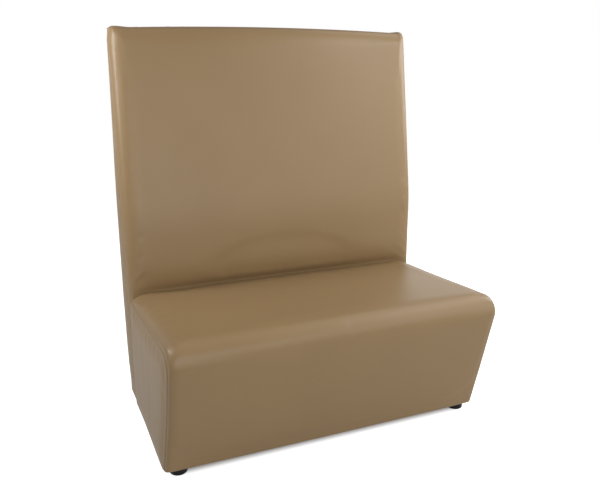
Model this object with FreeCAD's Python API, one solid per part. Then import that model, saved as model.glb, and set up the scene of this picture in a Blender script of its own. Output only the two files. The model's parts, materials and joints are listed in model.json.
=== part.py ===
import FreeCAD, Part
import math
import os

# Restaurant booth seating: an upholstered box seat joined to a full-height upholstered back.
# Millimetres. X runs across the booth, +Y from the sitter's knees to the back, +Z up.
# The origin lies on the floor, in the middle of the booth's footprint.

# Overall sizes
width = 1100.0
depth = 716.0
height = 1327.0
seat_height = 471.0
foot_clearance = 25.0

# Shape of the seat, side view
nose_radius = 51.0
front_lean = 15.0
seat_slope = 2.0

# Shape of the back, side view. Both thicknesses are over the covers.
lumbar_thickness = 171.0
lumbar_height = 640.0
lumbar_radius = 900.0
top_thickness = 85.0
top_roll_radius = 45.0

# Crowns and rolled edges of the upholstery
seat_top_crown = 7.0
seat_front_crown = 5.0
seat_side_crown = 8.0
seat_roll_width = 41.0
seat_top_roll = 28.0
seat_corner_roll = 15.0
back_front_crown = 12.0
back_top_crown = 9.0
back_edge_roll = 42.0

# Thicknesses of the layers
cover_thickness = 1.5
seat_foam_thickness = 100.0
front_foam_thickness = 15.0
seat_side_pad = 10.0
back_foam_thickness = 45.0
back_side_pad = 8.0
top_pad_thickness = 12.0
back_board_thickness = 4.0
rear_board_thickness = 4.0
dust_cloth = 1.0
insulator_cloth = 1.0
ply = 18.0

# Timber sections
rail_thickness = 45.0
base_rail_width = 60.0
base_rail_height = 45.0
spring_rail_height = 60.0
rear_spring_rail_height = 95.0
back_rail_height = 70.0
post_thickness = 36.0
divider_drop = 40.0
block_leg = 40.0
cloth_space = 6.0

# Springs
spring_count = 5
spring_wire = 4.0
spring_width = 60.0
spring_pitch = 42.0
spring_edge_space = 90.0
spring_rail_overlap = 22.0
clip_width = 16.0
clip_thickness = 1.2
clip_tab = 12.0

# Joining bolts, M8
bolt_radius = 4.0
bolt_hole_gap = 0.5
bolt_drop = 55.0
bolt_head_radius = 7.0
bolt_head_height = 5.0
joint_nut_radius = 7.5
joint_nut_height = 8.0
bolt_place_shares = (-0.80, -0.28, 0.28, 0.80)

# Feet, M8 thread
foot_radius = 28.0
foot_base_height = 21.0
foot_side_space = 12.0
stem_radius = 4.0
stem_length = 53.0
socket_depth = 13.0
collar_radius = 7.5
thread_gap = 0.08
socket_gap = 0.08
nut_radius = 6.5
nut_length = 18.0
nut_seat_gap = 0.1

# Clearance between two soft faces, and the overrun of a cut
soft_gap = 0.3
overrun = 20.0
back_foam_lift = 20.0

# Sections of a rolled edge stand at these angles, in degrees, and sections of a crown at these shares
roll_angles = (0.0, 22.5, 45.0, 67.5, 90.0)
crown_place_shares = (-0.7, -0.35, 0.0, 0.35, 0.7)
bend_angles = (-90.0, -54.0, -18.0, 18.0, 54.0, 90.0)
side_roll_share = 0.9

# Worked out from the sizes above
half_width = width / 2
rear_y = depth / 2
front_angle = math.radians(front_lean)
top_angle = math.radians(seat_slope)
front_normal = (-math.cos(front_angle), -math.sin(front_angle))
top_normal = (math.sin(top_angle), math.cos(top_angle))
nose_y = -rear_y + seat_front_crown + nose_radius
nose_z = seat_height - seat_top_crown - nose_radius
frame_bottom = foot_clearance + dust_cloth
seat_frame_half = half_width - cover_thickness - seat_side_pad
back_frame_half = half_width - cover_thickness - back_side_pad
lumbar_y = rear_y - lumbar_thickness
top_front_y = rear_y - top_thickness
top_edge_z = height - back_top_crown
joint_y = lumbar_y + cover_thickness + back_foam_thickness + back_board_thickness
seat_rear_y = lumbar_y - back_front_crown - soft_gap
frame_rear_y = rear_y - cover_thickness - rear_board_thickness
frame_top = top_edge_z - cover_thickness - top_pad_thickness
front_inset = cover_thickness + front_foam_thickness
deck_inset = cover_thickness + seat_foam_thickness
spring_stack = spring_wire + clip_thickness + soft_gap
rail_inset = deck_inset + insulator_cloth + spring_stack
block_length = base_rail_height
foot_x = seat_frame_half - ply - foot_side_space


def line_meet(normal_a, reach_a, normal_b, reach_b):
    """Point where two lines meet, each given by its normal and its distance along it."""
    across = normal_a[0] * normal_b[1] - normal_a[1] * normal_b[0]
    y = (reach_a * normal_b[1] - normal_a[1] * reach_b) / across
    z = (normal_a[0] * reach_b - reach_a * normal_b[0]) / across
    return y, z


def front_reach(inset):
    """Distance of the seat's front plane from the origin, drawn in by an inset."""
    return nose_radius - inset + front_normal[0] * nose_y + front_normal[1] * nose_z


def top_reach(inset):
    """Distance of the seat's top plane from the origin, drawn in by an inset."""
    return nose_radius - inset + top_normal[0] * nose_y + top_normal[1] * nose_z


def front_y(z, inset):
    return (front_reach(inset) - front_normal[1] * z) / front_normal[0]


def top_z(y, inset):
    return (top_reach(inset) - top_normal[0] * y) / top_normal[1]


# The step under the back foam, where the seat reaches back to the joint
step_z = top_z(joint_y, deck_inset) + back_foam_lift

# The seat's side panels reach further back than its top, up to the back's rolled edge
side_from = half_width - cover_thickness
bulge_from = side_from - cover_thickness
roll_there = math.sqrt(back_edge_roll ** 2 - (back_edge_roll - half_width + bulge_from) ** 2)
side_rear_y = lumbar_y + back_edge_roll - roll_there - cover_thickness


def wire_of(x, sides):
    """Closed wire in the plane at x. Each side is a pair of points, or three for an arc."""
    edges = []
    for side in sides:
        points = [FreeCAD.Vector(x, y, z) for y, z in side]
        if len(points) == 2:
            edges.append(Part.makeLine(points[0], points[1]))
        else:
            edges.append(Part.Arc(points[0], points[1], points[2]).toShape())
    return Part.Wire(edges)


def sides_through(stops):
    """Sides that join the stops in turn. A stop is a point, or the three points of an arc."""
    sides = []
    for index, stop in enumerate(stops):
        following = stops[(index + 1) % len(stops)]
        if len(stop) == 3:
            sides.append(stop)
        leave = stop[2] if len(stop) == 3 else stop
        reach = following[0] if len(following) == 3 else following
        sides.append((leave, reach))
    return sides


def prism(corners, x_from, x_to):
    """Side-view outline carried across the booth from x_from to x_to."""
    face = Part.Face(wire_of(x_from, sides_through(corners)))
    return face.extrude(FreeCAD.Vector(x_to - x_from, 0, 0))


def block(x_from, x_to, y_from, y_to, z_from, z_to):
    corner = FreeCAD.Vector(x_from, y_from, z_from)
    return Part.makeBox(x_to - x_from, y_to - y_from, z_to - z_from, corner)


def rod(centre, radius, length, direction):
    return Part.makeCylinder(radius, length, FreeCAD.Vector(*centre), FreeCAD.Vector(*direction))


def hexagon_bar(centre, radius, length, direction):
    """Hexagonal bar, its radius taken over the corners."""
    circle = Part.Circle(FreeCAD.Vector(*centre), FreeCAD.Vector(*direction), radius)
    corners = [circle.value(index * math.pi / 3) for index in range(6)]
    face = Part.Face(Part.makePolygon(corners + corners[:1]))
    return face.extrude(FreeCAD.Vector(*direction) * length)


def mirrored(shape):
    """The same piece on the booth's other side."""
    return shape.mirror(FreeCAD.Vector(0, 0, 0), FreeCAD.Vector(1, 0, 0))


def arc_points(centre, radius, angle_from, angle_to):
    """Start, middle and end of an arc, angles in radians from +Y towards +Z."""
    angles = (angle_from, (angle_from + angle_to) / 2, angle_to)
    return tuple((centre[0] + radius * math.cos(a), centre[1] + radius * math.sin(a)) for a in angles)


def cushion_body(half, roll, outline):
    """Cushion lofted across the booth. The outline takes x, its share of the edge roll, and of the crown."""
    inner = half - roll
    wires = []
    for degrees in reversed(roll_angles):
        angle = math.radians(degrees)
        wires.append(outline(-inner - roll * math.sin(angle), 1 - math.cos(angle), 0))
    for share in crown_place_shares:
        wires.append(outline(inner * share, 0, 1 - share * share))
    for degrees in roll_angles:
        angle = math.radians(degrees)
        wires.append(outline(inner + roll * math.sin(angle), 1 - math.cos(angle), 0))
    return Part.makeLoft(wires, True, True)


def seat_stops(front_in, top_in, step_y, out=0.0):
    """Side view of the upholstered seat: toe, nose, top, step under the back, and heel."""
    radius = nose_radius - (front_in + top_in) / 2
    centre = line_meet(front_normal, front_reach(front_in + radius),
                       top_normal, top_reach(top_in + radius))
    nose = arc_points(centre, radius, math.pi + front_angle, math.pi / 2 - top_angle)
    bottom = foot_clearance - out
    toe = (front_y(bottom, front_in), bottom)
    rear = step_y + out
    heel_y = joint_y + out
    return [toe, nose, (rear, top_z(rear, top_in)), (rear, step_z + out),
            (heel_y, step_z + out), (heel_y, bottom)]


def seat_form(inset, out=0.0):
    """The seat's upholstered outside, or the same drawn in by an inset and open behind and below."""
    top_roll = seat_top_roll - inset
    corner_roll = seat_corner_roll - inset

    def outline(x, roll, crown):
        front_in = inset + corner_roll * roll - seat_front_crown * crown
        top_in = inset + top_roll * roll - seat_top_crown * crown
        return wire_of(x, sides_through(seat_stops(front_in, top_in, seat_rear_y, out)))

    return cushion_body(half_width - inset, seat_roll_width - inset, outline)


def seat_side(x_from, crown_x):
    """Side panel of the seat from x_from out to a shallow spherical crown whose top is at crown_x."""
    stops = seat_stops(seat_corner_roll, seat_top_roll, side_rear_y)
    panel = prism(stops, x_from, crown_x)
    box = panel.BoundBox
    middle_y = (box.YMin + box.YMax) / 2
    middle_z = (box.ZMin + box.ZMax) / 2
    reach = math.hypot(box.YLength / 2, box.ZLength / 2)
    radius = (reach ** 2 + seat_side_crown ** 2) / seat_side_crown / 2
    ball = Part.makeSphere(radius, FreeCAD.Vector(crown_x - radius, middle_y, middle_z))
    return panel.common(ball)


def recline(inset):
    """Lumbar arc and reclined line of the back's front, drawn in by an inset."""
    centre = (lumbar_y + lumbar_radius, lumbar_height)
    radius = lumbar_radius - inset
    reach = (top_front_y - centre[0], top_edge_z - centre[1])
    distance = math.hypot(reach[0], reach[1])
    tangent = math.atan2(reach[1], -reach[0]) - math.acos(lumbar_radius / distance)
    start = math.pi
    arc = arc_points(centre, radius, start, start - tangent)
    return arc, tangent


def back_line_y(arc_end, tangent, z):
    """Place of the reclined line at a height."""
    return arc_end[0] + (z - arc_end[1]) * math.tan(tangent)


def back_stops(front_in, top_in, roll_radius, rear):
    """Side view of the upholstered back above the seat."""
    arc, tangent = recline(front_in)
    top = top_edge_z - top_in
    foot = step_z + soft_gap
    line_normal = (-math.cos(tangent), math.sin(tangent))
    line_reach = line_normal[0] * arc[2][0] + line_normal[1] * arc[2][1]
    centre = line_meet(line_normal, line_reach - roll_radius, (0, 1), top - roll_radius)
    roll = arc_points(centre, roll_radius, math.pi - tangent, math.pi / 2)
    return [(rear, foot), (arc[0][0], foot), arc, roll, (rear, top)]


def back_form(inset, out=0.0):
    """The back's upholstered outside, or the same drawn in by an inset and open below."""
    rear = rear_y - inset
    edge_roll = back_edge_roll - inset
    roll_radius = top_roll_radius - inset

    def outline(x, roll, crown):
        front_in = inset + edge_roll * roll - back_front_crown * crown
        top_in = inset - back_top_crown * crown
        radius = roll_radius - edge_roll * side_roll_share * roll
        return wire_of(x, sides_through(back_stops(front_in, top_in, radius, rear)))

    half = half_width - inset
    upper = cushion_body(half, edge_roll, outline)
    lower = block(-half, half, joint_y, rear, foot_clearance - out, step_z + soft_gap)
    return upper.fuse(lower)


def behind_front(inset, x_from, x_to):
    """Everything behind the back's front surface, drawn in by an inset."""
    arc, tangent = recline(inset)
    high = height + overrun
    rear = rear_y + overrun
    corners = [(rear, frame_bottom), (lumbar_y + inset, frame_bottom), arc,
               (back_line_y(arc[2], tangent, high), high), (rear, high)]
    return prism(corners, x_from, x_to)


def above_deck(inset):
    """Everything above the plane of the seat's deck."""
    reach = depth
    high = height
    corners = [(-reach, top_z(-reach, inset)), (reach, top_z(reach, inset)), (reach, high), (-reach, high)]
    return prism(corners, -width, width)


def before_front(inset):
    """Everything in front of the seat's leaning front plane."""
    low = -foot_clearance
    high = height
    corners = [(front_y(low, inset), low), (front_y(high, inset), high), (-width, high), (-width, low)]
    return prism(corners, -width, width)


def seat_panel(x_from, x_to, front_in, top_in, heel_y):
    """Flat piece of the seat frame that fills the seat's side view."""
    corners = [(front_y(frame_bottom, front_in), frame_bottom),
               line_meet(front_normal, front_reach(front_in), top_normal, top_reach(top_in)),
               (heel_y, top_z(heel_y, top_in)), (heel_y, frame_bottom)]
    return prism(corners, x_from, x_to)


parts = {}

# Feet: a base that stands on the floor, and a threaded stem that turns in it
base_rail_front_y = front_y(frame_bottom, front_inset)
front_foot_y = base_rail_front_y + base_rail_width / 2
rear_foot_y = frame_rear_y - base_rail_width / 2
foot_places = {
    "foot_front_left": (-foot_x, front_foot_y),
    "foot_front_right": (foot_x, front_foot_y),
    "foot_rear_left": (-foot_x, rear_foot_y),
    "foot_rear_right": (foot_x, rear_foot_y),
}


def foot_base(place):
    """Round plastic base with a socket for the stem."""
    drum = rod((0, 0, 0), foot_radius, foot_base_height, (0, 0, 1))
    floor = foot_base_height - socket_depth
    solid = drum.cut(rod((0, 0, floor), stem_radius + socket_gap, socket_depth, (0, 0, 1)))
    solid.translate(FreeCAD.Vector(place[0], place[1], 0))
    return solid


def foot_stem(place):
    """Threaded stem with a hexagonal collar, screwed up to the nut's flange."""
    start = foot_base_height - socket_depth + socket_gap
    stem = rod((0, 0, start), stem_radius, stem_length, (0, 0, 1))
    collar_from = foot_base_height + socket_gap
    collar = hexagon_bar((0, 0, collar_from), collar_radius, frame_bottom - collar_from, (0, 0, 1))
    solid = stem.fuse(collar)
    solid.translate(FreeCAD.Vector(place[0], place[1], 0))
    return solid


def foot_nut(place):
    """Hexagonal threaded insert let into the underside of a base rail."""
    centre = (place[0], place[1], frame_bottom)
    insert = hexagon_bar(centre, nut_radius, nut_length, (0, 0, 1))
    return insert.cut(rod(centre, stem_radius + thread_gap, nut_length, (0, 0, 1)))


def nut_hole(place):
    """Hole through a base rail for the insert and the stem above it."""
    low = (place[0], place[1], frame_bottom - overrun)
    return hexagon_bar(low, nut_radius + nut_seat_gap, base_rail_height + overrun + overrun, (0, 0, 1))


nut_holes = []
foot_nuts = []
for name, place in foot_places.items():
    parts[name + "_base"] = foot_base(place)
    parts[name + "_stem"] = foot_stem(place)
    foot_nuts.append(foot_nut(place))
    nut_holes.append(nut_hole(place))
parts["foot_nuts"] = Part.makeCompound(foot_nuts)

# Seat frame
inside = seat_frame_half - ply
rail_rear_y = joint_y
spring_rear_y = rail_rear_y - rail_thickness
base_top = frame_bottom + base_rail_height

end_panel = seat_panel(inside, seat_frame_half, front_inset, deck_inset + insulator_cloth, joint_y)
parts["seat_end_panel_right"] = end_panel
parts["seat_end_panel_left"] = mirrored(end_panel)

front_rail = prism([(base_rail_front_y, frame_bottom), (front_y(base_top, front_inset), base_top),
                    (base_rail_front_y + base_rail_width, base_top),
                    (base_rail_front_y + base_rail_width, frame_bottom)], -inside, inside)
parts["seat_front_base_rail"] = front_rail.cut(nut_holes)

rear_base_rail = block(-inside, inside, joint_y - rail_thickness, joint_y, frame_bottom, base_top)
parts["seat_rear_base_rail"] = rear_base_rail

board = seat_panel(-inside, inside, front_inset, rail_inset, joint_y)
board = board.cut(seat_panel(-width, width, front_inset + ply, -height, joint_y))
parts["seat_front_board"] = board.cut(block(-width, width, -depth, depth, -height, base_top))

behind_board = front_inset + ply
rail_meet = line_meet(front_normal, front_reach(behind_board), top_normal, top_reach(rail_inset))
rail_low = rail_meet[1] - spring_rail_height
rail_low_y = front_y(rail_low, behind_board)
front_spring_rail = prism([(rail_low_y, rail_low), rail_meet,
                           (rail_low_y + rail_thickness, top_z(rail_low_y + rail_thickness, rail_inset)),
                           (rail_low_y + rail_thickness, rail_low)], -inside, inside)
parts["seat_front_spring_rail"] = front_spring_rail

rear_rail_low = top_z(joint_y, rail_inset) - rear_spring_rail_height
rear_spring_rail = prism([(spring_rear_y, rear_rail_low), (spring_rear_y, top_z(spring_rear_y, rail_inset)),
                          (joint_y, top_z(joint_y, rail_inset)), (joint_y, rear_rail_low)],
                         -inside, inside)

# Joining bolts run through the seat's rear spring rail into the back's joint rail
bolt_z = top_z(joint_y, rail_inset) - bolt_drop
bolt_xs = [share * inside for share in bolt_place_shares]
bolt_start = joint_y - rail_thickness
bolt_reach = rail_thickness + rail_thickness + joint_nut_height
bolt_holes = []
bolts = []
nuts = []
for x in bolt_xs:
    start = (x, bolt_start, bolt_z)
    shank = rod(start, bolt_radius, bolt_reach, (0, 1, 0))
    head = hexagon_bar(start, bolt_head_radius, bolt_head_height, (0, -1, 0))
    bolts.append(shank.fuse(head))
    hole_start = (x, bolt_start - overrun, bolt_z)
    hole_length = bolt_reach + overrun + overrun
    bolt_holes.append(rod(hole_start, bolt_radius + bolt_hole_gap, hole_length, (0, 1, 0)))
    nut_start = (x, joint_y + rail_thickness, bolt_z)
    nut = hexagon_bar(nut_start, joint_nut_radius, joint_nut_height, (0, 1, 0))
    nuts.append(nut.cut(rod(nut_start, bolt_radius + thread_gap, joint_nut_height, (0, 1, 0))))
parts["joining_bolts"] = Part.makeCompound(bolts)
parts["joining_nuts"] = Part.makeCompound(nuts)
parts["seat_rear_spring_rail"] = rear_spring_rail.cut(bolt_holes)

# The divider is notched over the rails and lies below the springs
divider = seat_panel(-ply / 2, ply / 2, behind_board, rail_inset + divider_drop, joint_y)
divider = divider.cut([front_rail, rear_base_rail, front_spring_rail, rear_spring_rail])
parts["seat_divider"] = divider


def corner_block(x, y, x_way, y_way):
    """Triangular glue block between a base rail and an end panel."""
    corners = [FreeCAD.Vector(x, y, frame_bottom), FreeCAD.Vector(x + block_leg * x_way, y, frame_bottom),
               FreeCAD.Vector(x, y + block_leg * y_way, frame_bottom)]
    face = Part.Face(Part.makePolygon(corners + corners[:1]))
    return face.extrude(FreeCAD.Vector(0, 0, block_length))


block_front_y = base_rail_front_y + base_rail_width
block_rear_y = joint_y - rail_thickness
blocks = []
for side in (-1, 1):
    blocks.append(corner_block(side * inside, block_front_y, -side, 1))
    blocks.append(corner_block(side * inside, block_rear_y, -side, -1))
parts["seat_corner_blocks"] = Part.makeCompound(blocks)


# Springs: each is one wire, bent to and fro in the plane of the rails' tops
spring_from_y = rail_low_y + spring_rail_overlap
spring_to_y = joint_y - spring_rail_overlap
spring_run = (spring_to_y - spring_from_y) / math.cos(top_angle)
bar_count = max(3, round(spring_run / spring_pitch) + 1)
bar_pitch = spring_run / (bar_count - 1)
bar_half = (spring_width - bar_pitch) / 2


def spring_line():
    """Middle line of a spring: bars across, joined by half turns on alternate sides."""
    points = [(-bar_half, 0)]
    side = 1
    for index in range(bar_count - 1):
        middle = (index + 1 / 2) * bar_pitch
        for degrees in bend_angles:
            angle = math.radians(degrees)
            out = bar_half + bar_pitch / 2 * math.cos(angle)
            points.append((side * out, middle + bar_pitch / 2 * math.sin(angle)))
        side = -side
    points.append((side * bar_half, (bar_count - 1) * bar_pitch))
    return points


def beside(points, offset):
    """The same line moved sideways by an offset, its corners mitred."""
    moved = []
    for index, point in enumerate(points):
        before = points[max(0, index - 1)]
        after = points[min(len(points) - 1, index + 1)]
        way_in = math.atan2(point[1] - before[1], point[0] - before[0])
        way_out = math.atan2(after[1] - point[1], after[0] - point[0])
        if index == 0:
            way_in = way_out
        if index == len(points) - 1:
            way_out = way_in
        turn = math.remainder(way_out - way_in, math.tau)
        normal = way_in + turn / 2 + math.pi / 2
        reach = offset / math.cos(turn / 2)
        moved.append((point[0] + reach * math.cos(normal), point[1] + reach * math.sin(normal)))
    return moved


def sinuous_spring(x):
    """One spring of square wire, lying on the plane of the rails' tops."""
    thick = spring_wire / 2
    line = spring_line()
    outline = beside(line, thick) + beside(line, -thick)[::-1]
    corners = [FreeCAD.Vector(px, py, -thick) for px, py in outline]
    wire = Part.Face(Part.makePolygon(corners + corners[:1])).extrude(FreeCAD.Vector(0, 0, spring_wire))
    wire.rotate(FreeCAD.Vector(0, 0, 0), FreeCAD.Vector(1, 0, 0), -seat_slope)
    lift = top_z(spring_from_y, rail_inset) + thick / math.cos(top_angle)
    wire.translate(FreeCAD.Vector(x, spring_from_y, lift))
    return wire


def spring_clip(x, y):
    """Bent strap that holds a spring's end bar down on its rail."""
    inner = spring_wire / 2 + thread_gap
    outer = inner + clip_thickness
    floor = -spring_wire / 2
    rise = floor + clip_thickness
    tab = outer + clip_tab
    clip = prism([(-tab, floor), (-tab, rise), (-outer, rise), (-outer, outer), (outer, outer),
                  (outer, rise), (tab, rise), (tab, floor), (inner, floor), (inner, inner),
                  (-inner, inner), (-inner, floor)], -clip_width / 2, clip_width / 2)
    clip.rotate(FreeCAD.Vector(0, 0, 0), FreeCAD.Vector(1, 0, 0), -seat_slope)
    lift = top_z(y, rail_inset) + spring_wire / 2 / math.cos(top_angle)
    clip.translate(FreeCAD.Vector(x, y, lift))
    return clip


springs = []
clips = []
spring_reach = inside - spring_edge_space
for index in range(spring_count):
    x = -spring_reach + 2 * spring_reach * index / max(1, spring_count - 1)
    springs.append(sinuous_spring(x))
    clips.append(spring_clip(x, spring_from_y))
    clips.append(spring_clip(x, spring_to_y))
parts["seat_springs"] = Part.makeCompound(springs)
parts["spring_clips"] = Part.makeCompound(clips)

# Seat foams, pads and cloths
seat_inner = seat_form(cover_thickness)
middle = block(-seat_frame_half, seat_frame_half, -depth, depth, -height, height)
deck_corner = line_meet(front_normal, front_reach(front_inset), top_normal, top_reach(deck_inset))
insulator = prism([(front_y(0, front_inset), 0), deck_corner, (joint_y, top_z(joint_y, deck_inset)),
                   (joint_y, 0)], -seat_frame_half, seat_frame_half)
insulator = insulator.common(above_deck(deck_inset + insulator_cloth))
parts["spring_insulator"] = insulator
parts["seat_foam"] = seat_inner.common(middle).common(above_deck(deck_inset))
front_foam = seat_inner.common(middle).cut(above_deck(deck_inset))
parts["seat_front_foam"] = front_foam.common(before_front(front_inset)).common(
    block(-width, width, -depth, depth, frame_bottom, height))

crown_x = half_width + seat_side_crown
side_slice = block(seat_frame_half, side_from, -depth, depth, frame_bottom, height)
side_bulge = seat_side(bulge_from, crown_x - cover_thickness)
side_pad = seat_inner.common(side_slice).fuse(side_bulge)
side_pad = side_pad.cut(block(0, width, -depth, depth, -height, frame_bottom))
parts["seat_side_pad_right"] = side_pad
parts["seat_side_pad_left"] = mirrored(side_pad)

# Seat covers
side_skin = seat_side(side_from, crown_x)
side_cover = side_skin.cut(side_bulge)
parts["seat_side_cover_right"] = side_cover
parts["seat_side_cover_left"] = mirrored(side_cover)
seat_shell = seat_form(0.0).cut(seat_form(cover_thickness, overrun))
parts["seat_cover"] = seat_shell.cut([side_skin, mirrored(side_skin)])

# Back frame
back_inside = back_frame_half - ply
frame_inset = cover_thickness + back_foam_thickness + back_board_thickness
board_inset = cover_thickness + back_foam_thickness
frame_body = behind_front(frame_inset, -back_frame_half, back_frame_half)
frame_body = frame_body.common(block(-width, width, -depth, frame_rear_y, frame_bottom, frame_top))


def frame_slice(x_from, x_to, z_from, z_to, y_from=-depth, y_to=depth):
    """Part of the back frame's body between the given planes."""
    return frame_body.common(block(x_from, x_to, y_from, y_to, z_from, z_to))


back_end = frame_slice(back_inside, back_frame_half, frame_bottom, frame_top)
parts["back_end_panel_right"] = back_end
parts["back_end_panel_left"] = mirrored(back_end)

back_base_rail = frame_slice(-back_inside, back_inside, frame_bottom, base_top,
                             frame_rear_y - base_rail_width)
parts["back_base_rail"] = back_base_rail.cut(nut_holes)
joint_rail_top = top_z(joint_y, rail_inset)
back_joint_rail = frame_slice(-back_inside, back_inside, joint_rail_top - rear_spring_rail_height,
                              joint_rail_top, joint_y, joint_y + rail_thickness)
parts["back_joint_rail"] = back_joint_rail.cut(bolt_holes)
lumbar_rail = frame_slice(-back_inside, back_inside, lumbar_height - back_rail_height / 2,
                          lumbar_height + back_rail_height / 2, joint_y, joint_y + rail_thickness)
parts["back_lumbar_rail"] = lumbar_rail
top_rail = frame_slice(-back_inside, back_inside, frame_top - back_rail_height, frame_top)
parts["back_top_rail"] = top_rail
upper_z = (lumbar_height + frame_top) / 2
upper_arc, upper_tangent = recline(frame_inset)
upper_front_y = back_line_y(upper_arc[2], upper_tangent, upper_z)
upper_rail = frame_slice(-back_inside, back_inside, upper_z - back_rail_height / 2,
                         upper_z + back_rail_height / 2, -depth, upper_front_y + rail_thickness)
parts["back_upper_rail"] = upper_rail
post = frame_slice(-post_thickness / 2, post_thickness / 2, frame_bottom, frame_top)
parts["back_post"] = post.cut([back_base_rail, back_joint_rail, lumbar_rail, upper_rail, top_rail])

# Boards on the back's front and rear
board_foot = step_z + soft_gap
back_board = behind_front(board_inset, -back_frame_half, back_frame_half)
back_board = back_board.cut(behind_front(frame_inset, -width, width))
parts["back_board"] = back_board.common(block(-width, width, -depth, depth, board_foot, frame_top))
parts["back_rear_board"] = block(-back_frame_half, back_frame_half, frame_rear_y,
                                 frame_rear_y + rear_board_thickness, frame_bottom, frame_top)

# Back foam and pads
back_inner = back_form(cover_thickness)
board_body = behind_front(board_inset, -width, width)
parts["back_foam"] = back_inner.cut(board_body).common(
    block(-width, width, -depth, depth, board_foot, height))
rest = back_inner.common(board_body)
parts["back_top_pad"] = rest.common(block(-width, width, -depth, depth, frame_top, height))
side_block = block(back_frame_half, width, -depth, depth, frame_bottom, frame_top)
back_side = rest.common(side_block)
parts["back_side_pad_right"] = back_side
parts["back_side_pad_left"] = mirrored(back_side)

# Back covers
back_shell = back_form(0.0).cut(back_form(cover_thickness, overrun))
front_open = block(-side_from, side_from, joint_y - overrun, joint_y + cover_thickness, 0, board_foot)
back_shell = back_shell.cut(front_open)
rear_skin = block(-width, width, rear_y - cover_thickness, depth, -height, height + overrun)
back_shell = back_shell.cut(rear_skin)
crown_half = half_width - back_edge_roll
rear_top = [(share * crown_half, top_edge_z + back_top_crown * (1 - share ** 2))
            for share in (-1.0,) + crown_place_shares + (1.0,)]
rear_outline = [(-half_width, foot_clearance), (-half_width, top_edge_z)] + rear_top
rear_outline += [(half_width, top_edge_z), (half_width, foot_clearance)]
rear_corners = [FreeCAD.Vector(x, rear_y, z) for x, z in rear_outline]
rear_face = Part.Face(Part.makePolygon(rear_corners + rear_corners[:1]))
parts["back_rear_cover"] = rear_face.extrude(FreeCAD.Vector(0, -cover_thickness, 0))
corner_radius = top_roll_radius - back_edge_roll * side_roll_share
boxing = prism(back_stops(back_edge_roll, 0, corner_radius, rear_y - cover_thickness), side_from, half_width)
lower_boxing = block(side_from, half_width, joint_y, rear_y - cover_thickness, foot_clearance, board_foot)
boxing = boxing.fuse(lower_boxing)
parts["back_boxing_right"] = boxing
parts["back_boxing_left"] = mirrored(boxing)
back_shell = back_shell.cut([boxing, mirrored(boxing)])
top_seam_y = back_stops(0, 0, top_roll_radius, rear_y)[3][1][0]
top_zone = block(-width, width, top_seam_y, depth, frame_top + cover_thickness, height + overrun)
parts["back_boxing_top"] = back_shell.common(top_zone)
parts["back_cover"] = back_shell.cut(top_zone)

# Dust covers, stapled to the undersides of the rails inside the line of the feet
cloth_front = front_foot_y + nut_radius + cloth_space
cloth_rear = rear_foot_y - nut_radius - cloth_space
parts["seat_dust_cover"] = block(-seat_frame_half + cloth_space, seat_frame_half - cloth_space, cloth_front,
                                 joint_y, foot_clearance, frame_bottom)
parts["back_dust_cover"] = block(-back_frame_half + cloth_space, back_frame_half - cloth_space, joint_y,
                                 cloth_rear, foot_clearance, frame_bottom)

os.makedirs("parts", exist_ok=True)
for name, shape in sorted(parts.items()):
    solids = shape.Solids
    kept = solids[0] if len(solids) == 1 else Part.makeCompound(solids)
    kept.exportStep("parts/" + name + ".step")
    print(name, len(solids), round(kept.Volume), kept.isValid())
whole = Part.makeCompound(list(parts.values())).BoundBox
print("box", [round(v, 2) for v in (whole.XMin, whole.XMax, whole.YMin, whole.YMax, whole.ZMin, whole.ZMax)])
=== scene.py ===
# %% [markdown]
# # A restaurant booth seat in satin vinyl
# The seat is an upholstered box with a front that leans out towards the sitter, and a tall back
# that stands behind it. The wooden frame, the springs and the screw feet come from the CAD model
# and stay as they are. This lesson adds what a visitor sees: the sewn vinyl panels over their
# foam, the seams, the hems and dust cloths below, and the finish of every surface.

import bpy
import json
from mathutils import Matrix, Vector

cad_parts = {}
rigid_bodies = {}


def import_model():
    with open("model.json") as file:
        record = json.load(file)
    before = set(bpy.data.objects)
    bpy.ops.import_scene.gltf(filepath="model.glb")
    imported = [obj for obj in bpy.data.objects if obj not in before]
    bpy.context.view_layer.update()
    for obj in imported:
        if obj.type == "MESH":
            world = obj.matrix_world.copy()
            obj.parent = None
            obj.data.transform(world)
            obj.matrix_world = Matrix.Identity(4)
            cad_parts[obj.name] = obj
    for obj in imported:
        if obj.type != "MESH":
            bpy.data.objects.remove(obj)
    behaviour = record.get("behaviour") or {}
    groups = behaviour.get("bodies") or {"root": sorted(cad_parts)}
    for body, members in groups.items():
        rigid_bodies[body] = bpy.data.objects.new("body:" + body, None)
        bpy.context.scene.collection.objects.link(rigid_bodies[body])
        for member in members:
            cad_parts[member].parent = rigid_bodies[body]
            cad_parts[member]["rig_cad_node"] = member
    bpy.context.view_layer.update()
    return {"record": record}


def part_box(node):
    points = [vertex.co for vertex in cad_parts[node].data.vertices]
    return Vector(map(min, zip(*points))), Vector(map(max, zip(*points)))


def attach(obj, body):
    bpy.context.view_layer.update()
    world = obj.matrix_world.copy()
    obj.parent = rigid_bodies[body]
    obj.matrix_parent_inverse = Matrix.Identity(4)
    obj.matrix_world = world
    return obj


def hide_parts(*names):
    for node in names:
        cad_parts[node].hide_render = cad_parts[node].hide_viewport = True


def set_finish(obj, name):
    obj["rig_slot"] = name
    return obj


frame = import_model()

# %% Modules and the scene's settings
import json
import math

import bmesh
import bpy
import numpy as np
from mathutils import Vector, noise

scene = bpy.context.scene
scene.view_settings.view_transform = "Standard"
for item in bpy.context.selected_objects:
    item.select_set(False)

# %% [markdown]
# ## Sizes
# What can be read from the CAD nodes is read there, so the covers always fit the frame. The few
# radii and angles that a box can't tell are named here, in metres and degrees.

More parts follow.
